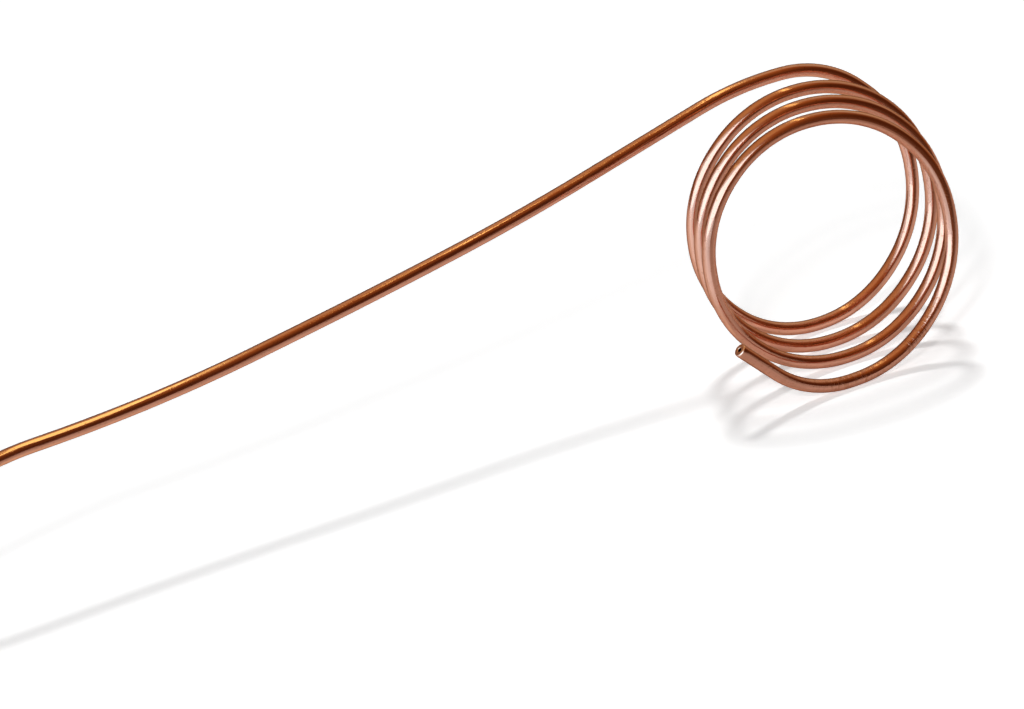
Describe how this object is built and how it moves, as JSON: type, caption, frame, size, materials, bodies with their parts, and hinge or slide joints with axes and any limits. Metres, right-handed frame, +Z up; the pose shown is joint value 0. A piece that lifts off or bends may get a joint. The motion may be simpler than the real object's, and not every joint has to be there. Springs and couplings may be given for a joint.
{
  "type": "copper tube coil",
  "caption": "Open coil of thick-walled copper capillary tube standing on its turns, with a long tail that leaves the top of the back turn and comes down to the floor.",
  "frame": {"origin": "the middle of the tube's box on the floor", "axes": "+X from the tail's cut end towards the coil, +Y along the coil's axis towards the turn that the tail leaves, +Z up"},
  "size_m": [0.3278, 0.0534, 0.0632],
  "materials": {
    "copper": null
  },
  "bodies": {
    "root": {"copper_tube": "copper"}
  },
  "joints": []
}
